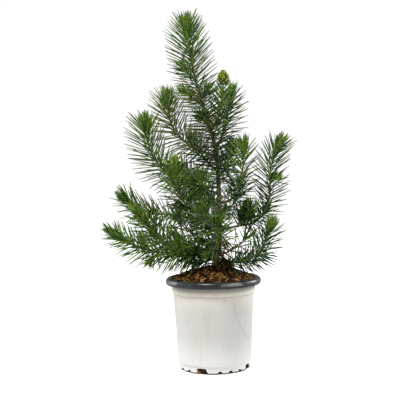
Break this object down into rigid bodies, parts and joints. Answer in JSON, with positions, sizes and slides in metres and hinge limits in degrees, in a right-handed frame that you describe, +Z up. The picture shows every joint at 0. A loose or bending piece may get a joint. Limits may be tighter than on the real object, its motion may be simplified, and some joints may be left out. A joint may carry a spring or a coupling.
{
  "type": "potted stone pine",
  "caption": "Young stone pine with long single needles on a leaning leader and rising side shoots, in a round tapered nursery pot with a dark rim and a notched foot.",
  "frame": {"origin": "middle of the pot's flat underside, at ground level", "axes": "+Z up the plant, -Y towards the viewer of the picture, +X to that viewer's right"},
  "size_m": [0.2853, 0.2161, 0.5224],
  "materials": {
    "pot_plastic": "off-white, satin, slightly soiled",
    "rim_plastic": "dark blue-grey, glossy",
    "soil": "loose bark and coir chips, damp",
    "bark": "thin rough bark, orange-brown low down and greener above",
    "needles": "waxy juvenile needles, blue-green to bright yellow-green at the tips"
  },
  "bodies": {
    "root": {"pot": "pot_plastic", "pot_rim": "rim_plastic", "soil": "soil", "trunk": "bark", "bough_back_bottom_left": "bark", "bough_back_bottom_right": "bark", "bough_back_middle": "bark", "bough_back_middle_left": "bark", "bough_back_middle_right": "bark", "bough_back_upper_left": "bark", "bough_back_upper_right": "bark", "bough_centre_left": "bark", "bough_crown_bud": "bark", "bough_front_centre": "bark", "bough_front_left": "bark", "bough_front_low": "bark", "bough_front_low_left": "bark", "bough_front_middle": "bark", "bough_left_bottom": "bark", "bough_left_inner": "bark", "bough_left_lower": "bark", "bough_left_middle": "bark", "bough_left_upper": "bark", "bough_right_bottom": "bark", "bough_right_inner": "bark", "bough_right_middle": "bark", "bough_right_upper": "bark", "needles_back_bottom_left": "needles", "needles_back_bottom_right": "needles", "needles_back_middle": "needles", "needles_back_middle_left": "needles", "needles_back_middle_right": "needles", "needles_back_upper_left": "needles", "needles_back_upper_right": "needles", "needles_centre_left": "needles", "needles_crown_bud": "needles", "needles_front_centre": "needles", "needles_front_left": "needles", "needles_front_low": "needles", "needles_front_low_left": "needles", "needles_front_middle": "needles", "needles_leader_foot": "needles", "needles_leader_lower": "needles", "needles_leader_middle": "needles", "needles_leader_tip": "needles", "needles_leader_upper": "needles", "needles_left_bottom": "needles", "needles_left_inner": "needles", "needles_left_lower": "needles", "needles_left_middle": "needles", "needles_left_upper": "needles", "needles_right_bottom": "needles", "needles_right_inner": "needles", "needles_right_middle": "needles", "needles_right_upper": "needles"}
  },
  "joints": []
}
